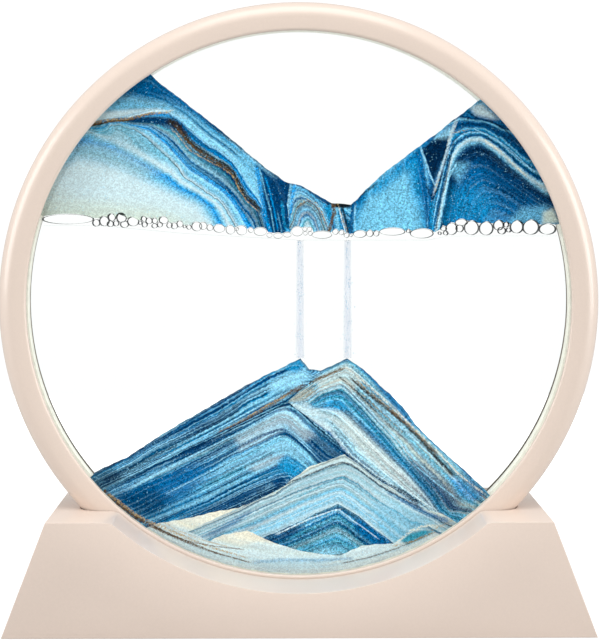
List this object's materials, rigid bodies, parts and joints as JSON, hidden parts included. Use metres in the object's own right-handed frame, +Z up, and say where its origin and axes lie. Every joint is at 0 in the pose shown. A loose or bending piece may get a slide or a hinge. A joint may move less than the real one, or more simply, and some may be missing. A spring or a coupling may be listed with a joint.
{
  "type": "moving sand art frame",
  "caption": "Round liquid and sand picture in a plastic ring that stands in a slotted base, and lifts out and turns to start the sand falling.",
  "frame": {"origin": "on the floor, under the middle of the base and of the ring", "axes": "+X right, +Y to the rear and +Z up, as the picture is looked at from the front"},
  "size_m": [0.18, 0.056, 0.185],
  "materials": {
    "cream_plastic": "satin",
    "cover_plastic": "matte",
    "window_glass": "polished",
    "clear_seal": "satin",
    "grey_rubber": "matte",
    "screw_steel": "satin",
    "clear_liquid": "gloss",
    "trapped_air": "gloss",
    "stream_sand": "matte",
    "bank_left_sand": "matte",
    "bank_centre_sand": "matte",
    "bank_right_sand": "matte",
    "mound_left_sand": "matte",
    "mound_right_sand": "matte",
    "mound_core_sand": "matte",
    "mound_crest_sand": "matte",
    "mound_heart_sand": "matte",
    "mound_bed_sand": "matte"
  },
  "bodies": {
    "base": {"base_shell": "cream_plastic", "base_cover": "cover_plastic", "base_screw_1": "screw_steel", "base_screw_2": "screw_steel", "base_screw_3": "screw_steel", "base_screw_4": "screw_steel", "foot_1": "grey_rubber", "foot_2": "grey_rubber", "foot_3": "grey_rubber", "foot_4": "grey_rubber"},
    "ring_carrier": {"cell_seal": "clear_seal"},
    "ring": {"ring_front": "cream_plastic", "ring_rear": "cream_plastic", "ring_screw_1": "screw_steel", "ring_screw_2": "screw_steel", "ring_screw_3": "screw_steel", "ring_screw_4": "screw_steel", "ring_screw_5": "screw_steel", "ring_screw_6": "screw_steel", "fill_plug": "grey_rubber", "glass_front": "window_glass", "glass_rear": "window_glass", "liquid_upper": "clear_liquid", "liquid_lower": "clear_liquid", "bubble_raft": "trapped_air", "bank_left": "bank_left_sand", "bank_centre": "bank_centre_sand", "bank_right": "bank_right_sand", "stream_left": "stream_sand", "stream_right": "stream_sand", "mound_left": "mound_left_sand", "mound_right": "mound_right_sand", "mound_core": "mound_core_sand", "mound_crest": "mound_crest_sand", "mound_heart": "mound_heart_sand", "mound_bed": "mound_bed_sand"}
  },
  "joints": [
    {"name": "ring_lift", "type": "slide", "parent": "base", "child": "ring_carrier", "axis": [0, 0, 1], "range_m": [0, 0.1]},
    {"name": "ring_spin", "type": "hinge", "parent": "ring_carrier", "child": "ring", "pos_m": [0, 0, 0.095], "axis": [0, 1, 0], "continuous": true}
  ]
}
